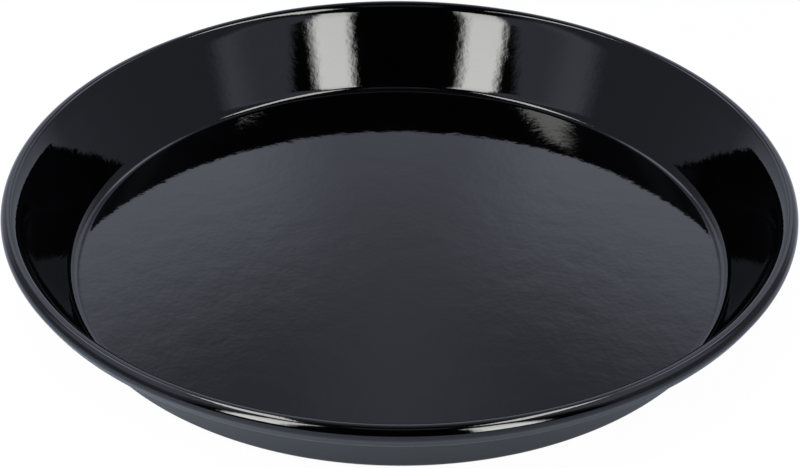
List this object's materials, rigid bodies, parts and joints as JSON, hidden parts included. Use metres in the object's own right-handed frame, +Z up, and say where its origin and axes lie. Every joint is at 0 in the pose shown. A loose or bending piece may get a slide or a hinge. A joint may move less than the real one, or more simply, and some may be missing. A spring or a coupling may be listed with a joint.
{
  "type": "quiche pan",
  "caption": "Shallow round baking pan of black enamelled steel with a flat floor, straight flared wall and rolled rim, for quiche and tarts.",
  "frame": {"origin": "centre of the pan's underside, on the surface that it stands on", "axes": "+Z up along the pan's axis, out of its mouth; the pan is round, so X and Y are free"},
  "size_m": [0.29, 0.29, 0.0335],
  "materials": {
    "sheet_steel": "cold-rolled deep-drawing steel sheet, pickled, fully covered by enamel",
    "inside_enamel": "black vitreous enamel, fired glossy with a slight orange-peel ripple",
    "outside_enamel": "black vitreous enamel, fired glossy with a slight orange-peel ripple"
  },
  "bodies": {
    "root": {"steel_pressing": "sheet_steel", "inside_enamel": "inside_enamel", "outside_enamel": "outside_enamel"}
  },
  "joints": []
}
